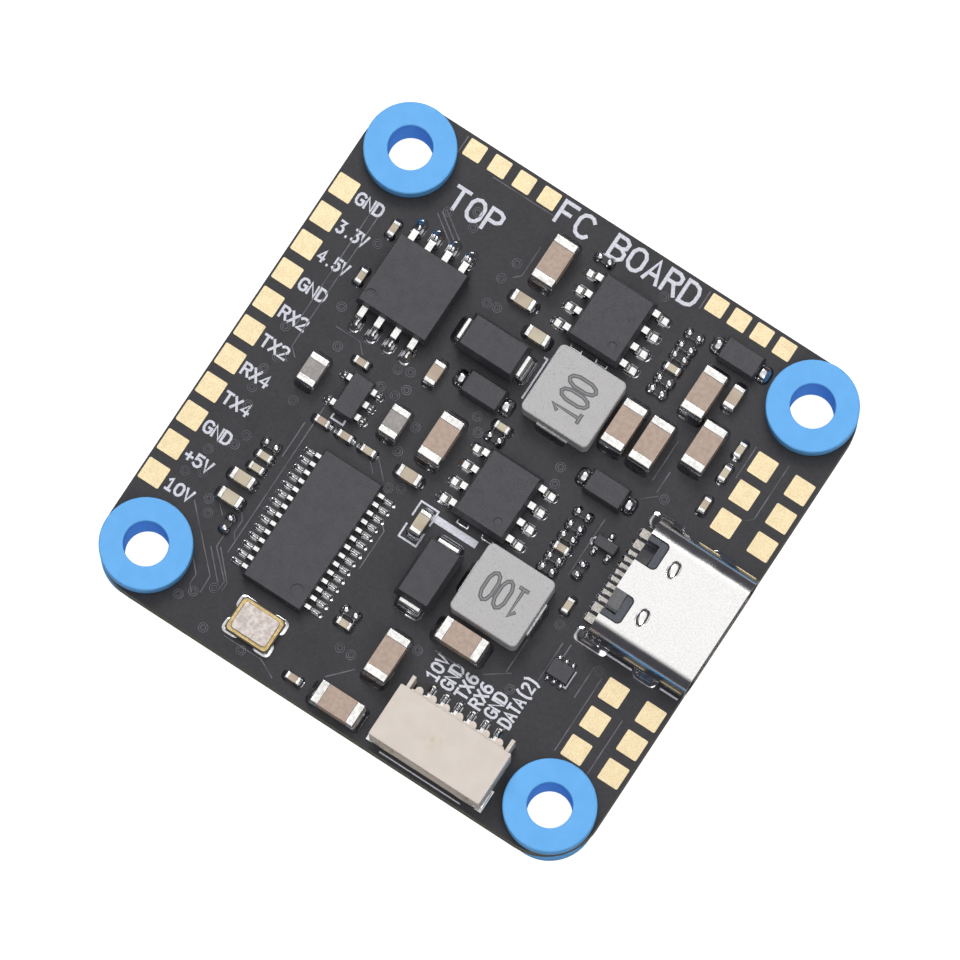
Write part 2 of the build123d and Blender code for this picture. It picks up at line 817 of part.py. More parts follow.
body, leads = flat_lead_chip(1.2, 1.6, 0.56, row(3, 0.5), row(3, 0.5), 1.6, 0.22)
save("dual_transistor_body", [on_top(dual_transistor_place) * body])
save("dual_transistor_leads", [on_top(dual_transistor_place) * lead for lead in leads])

body, leads = flat_lead_chip(0.8, 1.6, 0.75, [0], [-0.5, 0.5], 1.6, 0.28)
save("transistor_body", [on_top(transistor_place) * body])
save("transistor_leads", [on_top(transistor_place) * lead for lead in leads])

core, terminals = inductor()
save("inductor_a_core", [on_top(inductor_a_place) * core])
save("inductor_b_core", [on_top(inductor_b_place) * core])
frames = [on_top(inductor_a_place), on_top(inductor_b_place)]
save("inductor_terminals", [frame * end for frame in frames for end in terminals])

body, leads = large_diode()
frames = [on_top(place) for place in large_diode_places]
save("large_diode_bodies", [frame * body for frame in frames])
save("large_diode_terminals", [frame * lead for frame in frames for lead in leads])

body, leads = small_diode()
frames = [on_top(place) for place in small_diode_places]
save("small_diode_bodies", [frame * body for frame in frames])
save("small_diode_terminals", [frame * lead for frame in frames for lead in leads])

# Ceramic capacitors: package name, (length, width, height, plated end) and frames
low_frames = [beneath(place) for place in low_cap_places]
capacitor_sets = [
    ("1206", (3.2, 1.6, 1.6, 0.58), [on_top(place) for place in cap_1206_places]),
    ("0805", (2.05, 1.3, 1.25, 0.48), [on_top(place) for place in cap_0805_places]),
    ("0603", (1.6, 0.82, 0.8, 0.34), [on_top(place) for place in cap_0603_places]),
    ("0402", (1.0, 0.5, 0.5, 0.24), [on_top(place) for place in cap_0402_places] + low_frames),
]
for name, sizes, frames in capacitor_sets:
    ceramic, ends = plated_chip(*sizes)
    save(f"capacitor_{name}_bodies", [frame * ceramic for frame in frames])
    save(f"capacitor_{name}_ends", [frame * end for frame in frames for end in ends])

ceramic, coat, ends = resistor()
frames = [on_top(place) for place in resistor_places]
frames += [beneath(place) for place in low_resistor_places]
save("resistor_bodies", [frame * ceramic for frame in frames])
save("resistor_coats", [frame * coat for frame in frames])
save("resistor_ends", [frame * end for frame in frames for end in ends])

base, ring, lid, terminals = crystal()
frames = [on_top(crystal_place), beneath(low_crystal_place)]
save("crystal_bases", [frame * base for frame in frames])
save("crystal_rings", [frame * ring for frame in frames])
save("crystal_lids", [frame * lid for frame in frames])
save("crystal_terminals", [frame * end for frame in frames for end in terminals])

body, leads = processor()
save("processor_body", [beneath(processor_place) * body])
save("processor_leads", [beneath(processor_place) * lead for lead in leads])

save("motion_sensor", [beneath(motion_sensor_place) * motion_sensor()])
base, lid = pressure_sensor()
save("pressure_sensor_base", [beneath(pressure_sensor_place) * base])
save("pressure_sensor_lid", [beneath(pressure_sensor_place) * lid])

base, lens = light()
frames = [beneath(place) for place in led_places]
save("led_bases", [frame * base for frame in frames])
save("led_lenses", [frame * lens for frame in frames])

button = beneath(button_place)
save("button_frame", [button * button_frame()])
save("button_dome", [button * button_dome()])
save("button_plunger", [button * button_plunger()])
save("button_cover", [button * button_cover()])
save("button_terminals", [button * tail for tail in button_terminals()])
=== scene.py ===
import math
import random

import bpy
import numpy as np
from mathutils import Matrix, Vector


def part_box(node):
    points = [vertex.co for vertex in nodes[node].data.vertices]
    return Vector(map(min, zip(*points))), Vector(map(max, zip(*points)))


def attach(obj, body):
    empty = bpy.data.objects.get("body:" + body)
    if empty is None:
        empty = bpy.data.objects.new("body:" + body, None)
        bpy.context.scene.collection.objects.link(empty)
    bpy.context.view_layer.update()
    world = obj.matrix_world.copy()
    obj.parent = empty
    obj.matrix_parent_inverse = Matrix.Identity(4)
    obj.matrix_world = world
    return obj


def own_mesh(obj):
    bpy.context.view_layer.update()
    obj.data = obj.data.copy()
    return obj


# The looks of a flight controller board. Lengths are in millimetres until a mesh is made.

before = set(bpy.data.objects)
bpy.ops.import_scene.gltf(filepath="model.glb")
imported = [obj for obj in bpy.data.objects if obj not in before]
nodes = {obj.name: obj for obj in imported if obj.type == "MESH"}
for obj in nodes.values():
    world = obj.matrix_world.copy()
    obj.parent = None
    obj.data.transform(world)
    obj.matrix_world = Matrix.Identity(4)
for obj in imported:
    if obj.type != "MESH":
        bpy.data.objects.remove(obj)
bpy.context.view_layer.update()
random.seed(5)

MM = 0.001
INK_RISE = 0.014
COPPER_RISE = 0.02
SOLDER_FILM = 0.012
underside, topside = (corner.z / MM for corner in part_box("circuit_board"))


# ---------------------------------------------------------------- camera and light

camera_azimuth, camera_elevation = 33.18, 80.35
camera_distance, camera_lens = 676.4, 400
camera_target = (0.08, -0.09, topside)


def make_camera():
    """A long lens, nearly overhead, turned so that the board stands on a corner."""
    a, e = math.radians(camera_azimuth), math.radians(camera_elevation)
    back = Vector((math.sin(a) * math.cos(e), -math.cos(a) * math.cos(e), math.sin(e)))
    data = bpy.data.cameras.new("camera")
    data.lens = camera_lens
    data.clip_start, data.clip_end = 0.05, 20
    camera = bpy.data.objects.new("camera", data)
    bpy.context.scene.collection.objects.link(camera)
    camera.location = (Vector(camera_target) + back * camera_distance) * MM
    camera.rotation_mode = "QUATERNION"
    camera.rotation_quaternion = (-back).to_track_quat("-Z", "Y")
    bpy.context.scene.camera = camera


def softbox(name, place, size, power):
    """A square area light that faces the board."""
    data = bpy.data.lights.new(name, "AREA")
    data.size, data.energy = size, power
    light = bpy.data.objects.new(name, data)
    bpy.context.scene.collection.objects.link(light)
    light.location = place
    light.rotation_mode = "QUATERNION"
    light.rotation_quaternion = (-Vector(place)).to_track_quat("-Z", "Y")


def make_world(zenith, horizon):
    """A pale tent, bright overhead and dim towards the horizon, before a white backdrop."""
    world = bpy.data.worlds.new("tent")
    bpy.context.scene.world = world
    world.use_nodes = True
    tree = world.node_tree
    coords = tree.nodes.new("ShaderNodeTexCoord")
    split = tree.nodes.new("ShaderNodeSeparateXYZ")
    ramp = tree.nodes.new("ShaderNodeValToRGB")
    tree.links.new(coords.outputs["Generated"], split.inputs[0])
    tree.links.new(split.outputs["Z"], ramp.inputs[0])
    ray = tree.nodes.new("ShaderNodeLightPath")
    backdrop = tree.nodes.new("ShaderNodeRGB")
    backdrop.outputs[0].default_value = (1, 1, 1, 1)
    shown = mix(tree, ray.outputs["Is Camera Ray"], ramp.outputs[0], backdrop.outputs[0])
    tree.links.new(shown, tree.nodes["Background"].inputs[0])
    lower, upper = ramp.color_ramp.elements
    lower.position, lower.color = 0.7, horizon
    upper.position, upper.color = 0.89, zenith


def make_floor():
    """A pale paper floor, lit from below, that glows softly on what stands over it."""
    mesh = bpy.data.meshes.new("floor")
    half = 3.0
    gap_below_part = 0.02 * MM
    grey = 0.3
    seen, reflected = 0.7, 0.05
    corners = [(-half, -half, 0), (half, -half, 0), (half, half, 0), (-half, half, 0)]
    mesh.from_pydata(corners, [], [(0, 1, 2, 3)])
    floor = bpy.data.objects.new("floor", mesh)
    floor.location.z = -gap_below_part
    bpy.context.scene.collection.objects.link(floor)
    paper = surface(
        "floor_paper", (grey,) * 3, (0.32,) * 3, 6, (0.9, 0.95), Emission_Color=(1,) * 4
    )
    tree = paper.node_tree
    ray = tree.nodes.new("ShaderNodeLightPath")
    glow = tree.nodes.new("ShaderNodeMath")
    tree.links.new(remap(tree, ray.outputs["Is Camera Ray"], 0, seen, 0, 1), glow.inputs[0])
    tree.links.new(remap(tree, ray.outputs["Is Glossy Ray"], 0.3, reflected, 0, 1), glow.inputs[1])
    tree.links.new(glow.outputs[0], tree.nodes["Principled BSDF"].inputs["Emission Strength"])
    mesh.materials.append(paper)


# ---------------------------------------------------------------- materials

def object_coords(tree):
    """The place of the shaded point in object space."""
    return tree.nodes.new("ShaderNodeTexCoord").outputs["Object"]


def noise(tree, size, detail=3, stretch=(1, 1, 1)):
    """Noise in object space whose lumps are about size across."""
    mapping = tree.nodes.new("ShaderNodeMapping")
    texture = tree.nodes.new("ShaderNodeTexNoise")
    mapping.inputs["Scale"].default_value = stretch
    texture.inputs["Scale"].default_value = 1 / (size * MM)
    texture.inputs["Detail"].default_value = detail
    tree.links.new(object_coords(tree), mapping.inputs[0])
    tree.links.new(mapping.outputs[0], texture.inputs["Vector"])
    return texture.outputs["Fac"]


def ramp(tree, factor, dark, light, low=0.35, high=0.65):
    """A colour that runs from dark to light as the factor goes from low to high."""
    node = tree.nodes.new("ShaderNodeValToRGB")
    first, last = node.color_ramp.elements
    first.position, last.position = low, high
    first.color, last.color = (*dark, 1), (*light, 1)
    tree.links.new(factor, node.inputs[0])
    return node.outputs[0]


def remap(tree, factor, low, high, from_low=0.3, from_high=0.7):
    """A number that runs from low to high with the factor."""
    node = tree.nodes.new("ShaderNodeMapRange")
    node.inputs["From Min"].default_value = from_low
    node.inputs["From Max"].default_value = from_high
    node.inputs["To Min"].default_value = low
    node.inputs["To Max"].default_value = high
    tree.links.new(factor, node.inputs[0])
    return node.outputs[0]


def mix(tree, factor, first, second):
    """A colour that goes from first to second with the factor."""
    node = tree.nodes.new("ShaderNodeMix")
    node.data_type = "RGBA"
    tree.links.new(factor, node.inputs[0])
    tree.links.new(first, node.inputs[6])
    tree.links.new(second, node.inputs[7])
    return node.outputs[2]


def bump(tree, shader, factor, depth, strength=1.0):
    """Relief of that depth on the shader's normal, over any relief it already has."""
    node = tree.nodes.new("ShaderNodeBump")
    node.inputs["Strength"].default_value = strength
    node.inputs["Distance"].default_value = depth * MM
    tree.links.new(factor, node.inputs["Height"])
    if shader.inputs["Normal"].is_linked:
        tree.links.new(shader.inputs["Normal"].links[0].from_socket, node.inputs["Normal"])
    tree.links.new(node.outputs[0], shader.inputs["Normal"])


def surface(name, dark, light, grain, roughness, depth=0.0, stretch=(1, 1, 1), **sockets):
    """A material with blotches of two colours, uneven gloss, and a fine and a coarse relief."""
    material = bpy.data.materials.new(name)
    material.use_nodes = True
    tree = material.node_tree
    shader = tree.nodes["Principled BSDF"]
    for socket, value in sockets.items():
        shader.inputs[socket.replace("_", " ")].default_value = value
    fine = noise(tree, grain, 4, stretch)
    coarse = noise(tree, grain * 9, 2, stretch)
    tree.links.new(ramp(tree, fine, dark, light), shader.inputs["Base Color"])
    tree.links.new(remap(tree, coarse, *roughness), shader.inputs["Roughness"])
    if depth:
        bump(tree, shader, fine, depth)
        bump(tree, shader, coarse, depth * 2, 0.6)
    return material


def shader_of(material):
    """A material's node tree, its shader, and what feeds the shader's colour so far."""
    tree = material.node_tree
    shader = tree.nodes["Principled BSDF"]
    return tree, shader, shader.inputs["Base Color"].links[0].from_socket


def mask_material():
    """Black solder mask on the faces, and cut glass-epoxy laminate round the sides."""
    material = surface(
        "solder_mask", (0.0072, 0.0069, 0.0112), (0.0158, 0.0151, 0.021), 0.2, (0.4, 0.52), 0.005
    )
    tree, shader, face_colour = shader_of(material)
    weave = noise(tree, 0.5, 5, (1, 1, 9))
    edge_colour = ramp(tree, weave, (0.035, 0.033, 0.018), (0.19, 0.17, 0.09), 0.35, 0.7)
    geometry = tree.nodes.new("ShaderNodeNewGeometry")
    split = tree.nodes.new("ShaderNodeSeparateXYZ")
    size = tree.nodes.new("ShaderNodeMath")
    size.operation = "ABSOLUTE"
    tree.links.new(geometry.outputs["Normal"], split.inputs[0])
    tree.links.new(split.outputs["Z"], size.inputs[0])
    facing = remap(tree, size.outputs[0], 0, 1, 0.4, 0.6)
    tree.links.new(mix(tree, facing, edge_colour, face_colour), shader.inputs["Base Color"])
    return material


def gold_material():
    """Immersion gold: a grainy, slightly blotchy satin."""
    material = surface(
        "immersion_gold", (0.65, 0.51, 0.29), (0.78, 0.67, 0.46), 0.08, (0.28, 0.4), 0.005,
        Metallic=1.0,
    )
    tree, shader, _ = shader_of(material)
    bump(tree, shader, noise(tree, 0.6, 2), 0.012, 0.4)
    return material


def iron_material():
    """Pressed iron powder under a thin grey lacquer, with darker and lighter specks."""
    material = surface(
        "iron_powder", (0.42, 0.41, 0.415), (0.56, 0.55, 0.555), 0.07, (0.5, 0.65), 0.006
    )
    tree, shader, base = shader_of(material)
    speck = ramp(tree, noise(tree, 0.16, 5), (0.26, 0.255, 0.255), (0.54, 0.53, 0.53), 0.28, 0.45)
    cloud = remap(tree, noise(tree, 0.8, 3), 0.05, 0.5)
    tree.links.new(mix(tree, cloud, base, speck), shader.inputs["Base Color"])
    return material


def contact_material():
    """The USB contacts: tinned feet behind the socket, gold on the tongue."""
    material = surface(
        "contact_plating", (0.34, 0.31, 0.28), (0.56, 0.53, 0.5), 0.12, (0.18, 0.32), 0.006,
        Metallic=1.0,
    )
    tree, shader, tinned = shader_of(material)
    gilded = ramp(tree, noise(tree, 0.1), (0.8, 0.6, 0.28), (0.95, 0.78, 0.45))
    split = tree.nodes.new("ShaderNodeSeparateXYZ")
    tree.links.new(object_coords(tree), split.inputs[0])
    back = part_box("usb_shell")[0].x
    share = remap(tree, split.outputs["X"], 0, 1, back, back + 1 * MM)
    tree.links.new(mix(tree, share, tinned, gilded), shader.inputs["Base Color"])
    return material


def ivory_material():
    """Ivory nylon, with the faint brown smear of the moulding gate on the connector's top."""
    material = surface(
        "ivory_nylon", (0.7, 0.625, 0.555), (0.74, 0.665, 0.6), 1.2, (0.38, 0.5), 0.003,
        Subsurface_Weight=0.1, Subsurface_Scale=0.0005,
    )
    tree, shader, clean = shader_of(material)
    gate = (7.0, -16.1, topside + 2.95)
    gap = tree.nodes.new("ShaderNodeVectorMath")
    gap.operation = "DISTANCE"
    gap.inputs[1].default_value = Vector(gate) * MM
    tree.links.new(object_coords(tree), gap.inputs[0])
    near = remap(tree, gap.outputs["Value"], 1, 0, 0.1 * MM, 0.75 * MM)
    patchy = tree.nodes.new("ShaderNodeMath")
    patchy.operation = "MULTIPLY"
    tree.links.new(near, patchy.inputs[0])
    tree.links.new(remap(tree, noise(tree, 0.4), 0, 0.6, 0.4, 0.65), patchy.inputs[1])
    smear = ramp(tree, noise(tree, 0.2), (0.4, 0.3, 0.14), (0.66, 0.54, 0.34))
    colour = mix(tree, patchy.outputs[0], clean, smear)
    tree.links.new(colour, shader.inputs["Base Color"])
    return material


def make_materials():
    """Every material, by the name that the pieces ask for."""
    return {
        "mask": mask_material(),
        "copper_relief": surface(
            "mask_over_copper", (0.06, 0.058, 0.072), (0.155, 0.152, 0.18), 1.1, (0.25, 0.4), 0.003
        ),
        "ink": surface("white_ink", (0.6, 0.61, 0.68), (0.78, 0.79, 0.86), 0.12, (0.5, 0.7), 0.004),
        "gold": gold_material(),
        "ring_gold": surface(
            "seal_ring_gold", (0.4, 0.29, 0.12), (0.62, 0.48, 0.24), 0.15, (0.3, 0.4), 0.004,
            Metallic=1.0,
        ),
        "silicone": surface(
            "blue_silicone", (0.135, 0.46, 0.92), (0.15, 0.485, 0.96), 0.9, (0.6, 0.75), 0.003,
            Subsurface_Weight=0.08, Subsurface_Scale=0.0006,
        ),
        "steel": surface(
            "rolled_steel", (0.74, 0.73, 0.725), (0.85, 0.84, 0.835), 0.12, (0.12, 0.19), 0.0016,
            Metallic=1.0,
        ),
        "tin": surface(
            "bright_tin", (0.66, 0.66, 0.65), (0.88, 0.88, 0.86), 0.12, (0.18, 0.32), 0.005,
            Metallic=1.0,
        ),
        "plated_end": surface(
            "plated_end", (0.6, 0.59, 0.57), (0.86, 0.85, 0.83), 0.22, (0.22, 0.42), 0.012,
            Metallic=1.0,
        ),
        "solder": surface(
            "solder", (0.5, 0.5, 0.52), (0.7, 0.7, 0.71), 0.3, (0.09, 0.16), 0.0012, Metallic=1.0
        ),
        "resin": surface(
            "moulding_resin", (0.038, 0.0355, 0.042), (0.063, 0.0595, 0.07), 0.07, (0.46, 0.6),
            0.006,
        ),
        "contact": contact_material(),
        "dark_plastic": surface(
            "dark_plastic", (0.05, 0.054, 0.072), (0.075, 0.082, 0.105), 0.2, (0.3, 0.42), 0.003
        ),
        "ivory": ivory_material(),
        "tan_ceramic": surface(
            "tan_ceramic", (0.42, 0.31, 0.245), (0.5, 0.385, 0.31), 0.3, (0.3, 0.45), 0.003
        ),
        "cream_ceramic": surface(
            "cream_ceramic", (0.46, 0.35, 0.27), (0.6, 0.54, 0.4), 2.5, (0.3, 0.45), 0.003
        ),
        "grey_ceramic": surface(
            "grey_ceramic", (0.29, 0.265, 0.25), (0.38, 0.355, 0.34), 0.2, (0.3, 0.45), 0.003
        ),
        "white_ceramic": surface(
            "alumina", (0.72, 0.71, 0.68), (0.85, 0.84, 0.8), 0.1, (0.5, 0.65), 0.004
        ),
        "dark_ceramic": surface(
            "dark_ceramic", (0.05, 0.045, 0.04), (0.08, 0.07, 0.06), 0.2, (0.4, 0.55), 0.003
        ),
        "glaze": surface(
            "resistor_glaze", (0.012, 0.012, 0.014), (0.024, 0.024, 0.026), 0.15, (0.25, 0.4), 0.004
        ),
        "lid": surface(
            "nickel_lid", (0.42, 0.37, 0.345), (0.62, 0.56, 0.53), 0.22, (0.3, 0.45), 0.005,
            Metallic=1.0,
        ),
        "iron": iron_material(),
        "mark": surface(
            "laser_mark", (0.1, 0.1, 0.105), (0.17, 0.17, 0.175), 0.06, (0.6, 0.75), 0.006
        ),
        "mark_core": surface(
            "laser_mark_core", (0.22, 0.22, 0.225), (0.32, 0.32, 0.325), 0.06, (0.6, 0.75), 0.006
        ),
        "lens": surface(
            "led_resin", (0.75, 0.72, 0.45), (0.85, 0.82, 0.6), 0.2, (0.12, 0.2), 0.002,
            Transmission_Weight=0.5,
        ),
    }


def paint(materials):
    """Give every CAD node its material."""
    wanted = {
        "circuit_board": "mask",
        "grommets": "silicone",
        "usb_shell": "steel",
        "usb_insulator": "dark_plastic",
        "usb_contacts": "contact",
        "usb_mid_plate": "steel",
        "connector_housing": "ivory",
        "connector_contacts": "tin",
        "connector_hold_downs": "tin",
        "inductor_a_core": "iron",
        "inductor_b_core": "iron",
        "capacitor_0805_bodies": "grey_ceramic",
        "capacitor_0603_bodies": "cream_ceramic",
        "capacitor_0402_bodies": "cream_ceramic",
        "resistor_bodies": "white_ceramic",
        "resistor_coats": "glaze",
        "crystal_bases": "dark_ceramic",
        "crystal_rings": "ring_gold",
        "crystal_lids": "lid",
        "crystal_terminals": "gold",
        "motion_sensor": "resin",
        "pressure_sensor_base": "white_ceramic",
        "pressure_sensor_lid": "lid",
        "led_bases": "white_ceramic",
        "led_lenses": "lens",
        "button_frame": "dark_plastic",
        "button_dome": "steel",
        "button_plunger": "ivory",
        "button_cover": "steel",
    }
    endings = [
        ("_leads", "tin"),
        ("_terminals", "tin"),
        ("_ends", "plated_end"),
        ("_body", "resin"),
        ("_bodies", "resin"),
    ]
    for name, node in nodes.items():
        kind = wanted.get(name)
        if name.startswith("gold_pads"):
            kind = "gold"
        if name.startswith("capacitor") and name.endswith("_bodies"):
            kind = kind or "tan_ceramic"
        for ending, choice in endings:
            if not kind and name.endswith(ending):
                kind = choice
        node.data.materials.clear()
        node.data.materials.append(materials[kind])


# ---------------------------------------------------------------- mesh building

class Pieces:
    """Gathers many small shapes into one mesh object."""

    def __init__(self):
        self.points = []
        self.faces = []

    def loft(self, rings):
        """Skin a list of rings of equal length, and close the last one."""
        start, count = len(self.points), len(rings[0])
        for ring in rings:
            self.points += ring
        for k in range(len(rings) - 1):
            for i in range(count):
                j = (i + 1) % count
                low, high = start + k * count, start + (k + 1) * count
                self.faces.append((low + i, low + j, high + j, high + i))
        last = start + (len(rings) - 1) * count
        self.faces.append(tuple(range(last, last + count)))

    def strip(self, path, width, base, height):
        """A raised line along a path of (x, y) points, with sloping sides. It rises a little
        from its start, so that where it crosses itself one stroke lies on the other."""
        overrun, flat_share, climb_per_point = 0.3, 0.72, 0.03
        points = [Vector(p) for p in path]
        closed = (points[0] - points[-1]).length < 1e-6
        sections = []
        for i, point in enumerate(points):
            before = points[i - 1] if i else points[-2] if closed else None
            after = points[i + 1] if i + 1 < len(points) else points[1] if closed else None
            one = (point - before).normalized() if before is not None else None
            two = (after - point).normalized() if after is not None else None
            along = (one or two) + (two or one)
            if along.length < 0.2:
                along = Vector((-(one or two).y, (one or two).x))
            along.normalize()
            stretch = min(1.5, 1 / max(0.3, abs(along.dot(two or one))))
            across = Vector((-along.y, along.x)) * (width / 2 * stretch)
            shift = Vector((0, 0))
            if not closed and before is None:
                shift = -along * width * overrun
            if not closed and after is None:
                shift = along * width * overrun
            middle = point + shift
            top = base + height * (1 + climb_per_point * i)
            sections.append([
                (*(middle + across), base),
                (*(middle + across * flat_share), top),
                (*(middle - across * flat_share), top),
                (*(middle - across), base),
            ])
        start = len(self.points)
        for section in sections:
            self.points += section
        for k in range(len(sections) - 1):
            low, high = start + 4 * k, start + 4 * k + 4
            for i in range(3):
                self.faces.append((low + i, low + i + 1, high + i + 1, high + i))
        self.faces.append((start, start + 1, start + 2, start + 3))
        end = len(self.points)
        self.faces.append((end - 1, end - 2, end - 3, end - 4))

    def make(self, name, material, smooth=True, body="board"):
        """Turn what was gathered into one object that rides on a body."""
        mesh = bpy.data.meshes.new(name)
        mesh.from_pydata([(x * MM, y * MM, z * MM) for x, y, z in self.points], [], self.faces)
        mesh.update()
        mesh.materials.append(material)
        mesh.polygons.foreach_set("use_smooth", [smooth] * len(mesh.polygons))
        piece = bpy.data.objects.new(name, mesh)
        bpy.context.scene.collection.objects.link(piece)
        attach(piece, body)


def outline(box, corner, z, steps=5):
    """A ring round a plan box (x0, x1, y0, y1) with rounded corners."""
    x0, x1, y0, y1 = box
    corner = min(corner, (x1 - x0) / 2.01, (y1 - y0) / 2.01)
    centres = [(x1 - corner, y1 - corner), (x0 + corner, y1 - corner)]
    centres += [(x0 + corner, y0 + corner), (x1 - corner, y0 + corner)]
    ring = []
    for quarter, (cx, cy) in enumerate(centres):
        for i in range(steps):
            angle = (quarter + i / (steps - 1)) * math.pi / 2
            ring.append((cx + corner * math.cos(angle), cy + corner * math.sin(angle), z))
    return ring


def blend_rings(first, second, amount):
    """The ring part of the way from the first to the second, in plan."""
    return [
        (a[0] + (b[0] - a[0]) * amount, a[1] + (b[1] - a[1]) * amount)
        for a, b in zip(first, second)
    ]


def islands(node):
    """The plan and height boxes (x0, x1, y0, y1, z0, z1) of a CAD node's separate solids."""
    mesh = nodes[node].data
    places = np.empty(len(mesh.vertices) * 3)
    mesh.vertices.foreach_get("co", places)
    places = np.round(places.reshape(-1, 3) / MM, 4)
    unique, index = np.unique(places, axis=0, return_inverse=True)
    index = index.ravel()
    parent = list(range(len(unique)))

    def root(i):
        while parent[i] != i:
            parent[i] = parent[parent[i]]
            i = parent[i]
        return i

    for edge in mesh.edges:
        a, b = root(index[edge.vertices[0]]), root(index[edge.vertices[1]])
        if a != b:
            parent[a] = b
    groups = {}
    for i in range(len(unique)):
        groups.setdefault(root(i), []).append(i)
    boxes = []
    for members in groups.values():
        low, high = unique[members].min(0), unique[members].max(0)
        boxes.append((low[0], high[0], low[1], high[1], low[2], high[2]))
    return sorted(boxes)


# ---------------------------------------------------------------- solder

# How a joint climbs from its pad's edge to its terminal, as (share of the way, share of the rise).
FILLET = ((0, 0), (0.04, 0.05), (0.22, 0.12), (0.42, 0.36), (0.62, 0.68), (0.82, 0.92), (1, 1))
RIM = ((0, 0), (0.04, 0.03), (0.2, 0.08), (0.45, 0.27), (0.7, 0.58), (1, 1))
DOME = ((0, 0), (0.04, 0.1), (0.14, 0.36), (0.3, 0.64), (0.55, 0.88), (0.8, 0.98), (1, 1))


def solder_joint(pieces, pad, foot, climb, lower, profile=FILLET):
    """Solder that rises from a pad's outline to the terminal that stands in it."""
    face, side = (underside, -1) if lower else (topside, 1)
    pad_corner, foot_corner = 0.42, 0.04
    outer = outline(pad, pad_corner, 0)
    inner = outline(foot, foot_corner, 0)
    rings = []
    for t, height in profile:
        z = face + side * (SOLDER_FILM + climb * height if t else 0)
        rings.append([(x, y, z) for x, y in blend_rings(outer, inner, t)])
    pieces.loft(rings)


def outward(end, bodies):
    """Which way a terminal sticks out of its own body: an axis (0 or 1) and a sign."""
    def offset(body):
        return end[0] + end[1] - body[0] - body[1], end[2] + end[3] - body[2] - body[3]

    same_side = [body for body in bodies if (body[4] < underside) == (end[4] < underside)]
    body = min(same_side, key=lambda box: math.hypot(*offset(box)))
    across, along = offset(body)
    offset_share = 0.1
    reach = {
        (0, 1): end[1] - body[1] + across * offset_share,
        (0, -1): body[0] - end[0] - across * offset_share,
        (1, 1): end[3] - body[3] + along * offset_share,
        (1, -1): body[2] - end[2] - along * offset_share,
    }
    return max(reach, key=reach.get)


def solder_terminals(
    pieces, ends, bodies, toe, side, climb, foot_length=None, heel=None, profile=FILLET
):
    """A joint at every terminal: toe beyond its end, side beside it, heel behind its foot."""
    body_boxes = [box for body in bodies for box in islands(body)]
    for end in islands(ends):
        axis, sign = outward(end, body_boxes)
        foot = [list(end[0:2]), list(end[2:4])]
        if foot_length:
            foot[axis][0 if sign > 0 else 1] = foot[axis][1 if sign > 0 else 0] - sign * foot_length
        pad = [[foot[0][0] - side, foot[0][1] + side], [foot[1][0] - side, foot[1][1] + side]]
        spread = toe * random.uniform(0.88, 1.12)
        tip, back = (1, 0) if sign > 0 else (0, 1)
        pad[axis][tip] = foot[axis][tip] + sign * spread
        if heel:
            pad[axis][back] = foot[axis][back] - sign * heel
            # the joint closes over the foot, in a small plateau at its middle
            for span, share in ((foot[axis], 0.33), (foot[1 - axis], 0.42)):
                inset = (span[1] - span[0]) * share
                span[0] += inset
                span[1] -= inset
        lower = end[4] < underside
        solder_joint(pieces, pad[0] + pad[1], foot[0] + foot[1], climb, lower, profile)


def add_solder(material):
    """Every solder joint on both sides of the board. It leaves the tops of the terminals on
    the first list bare, and closes in a ridge or a dome over those on the second. The numbers
    are toe, side, climb, foot length and heel."""
    pieces = Pieces()
    bare = [
        ("capacitor_1206_ends", ["capacitor_1206_bodies"], 0.42, 0.14, 0.8),
        ("capacitor_0805_ends", ["capacitor_0805_bodies"], 0.35, 0.13, 0.7),
        ("capacitor_0603_ends", ["capacitor_0603_bodies"], 0.33, 0.12, 0.55),
        ("capacitor_0402_ends", ["capacitor_0402_bodies"], 0.3, 0.16, 0.4),
        ("buck_chip_a_leads", ["buck_chip_a_body"], 0.36, 0.2, 0.17, 0.7),
        ("buck_chip_b_leads", ["buck_chip_b_body"], 0.36, 0.2, 0.17, 0.7),
        ("large_diode_terminals", ["large_diode_bodies"], 0.38, 0.28, 0.5),
        ("inductor_terminals", ["inductor_a_core", "inductor_b_core"], 0.28, 0.1, 0.5),
        ("crystal_terminals", ["crystal_bases"], 0.27, 0.18, 0.04),
        ("usb_contacts", ["usb_insulator"], 0.22, 0.06, 0.1, 0.7),
    ]
    covered = [
        ("display_chip_leads", ["display_chip_body"], 0.3, 0.09, 0.21, 0.6, 0.15),
        ("memory_chip_leads", ["memory_chip_body"], 0.42, 0.24, 0.36, 0.75, 0.3),
        ("regulator_leads", ["regulator_bodies"], 0.28, 0.13, 0.24, 0.35, 0.1),
        ("processor_leads", ["processor_body"], 0.25, 0.06, 0.19, 0.5, 0.15),
        ("connector_contacts", ["connector_housing"], 0.22, 0.17, 0.33, 0.75, 0.02),
        ("dual_transistor_leads", ["dual_transistor_body"], 0.22, 0.07, 0.22, 0.2, 0.03, DOME),
        ("transistor_leads", ["transistor_body"], 0.22, 0.1, 0.28, 0.3, 0.05, DOME),
        ("small_diode_terminals", ["small_diode_bodies"], 0.34, 0.16, 0.5, 0.5, 0.06, DOME),
        ("resistor_ends", ["resistor_bodies"], 0.26, 0.19, 0.5, 0.36, 0.04, DOME),
        ("button_terminals", ["button_frame"], 0.2, 0.1, 0.16, 0.35, 0.02),
    ]
    for joint in bare + covered:
        solder_terminals(pieces, *joint)
    add_socket_solder(pieces)
    add_tie_bars(pieces)
    pieces.make("solder_joints", material)


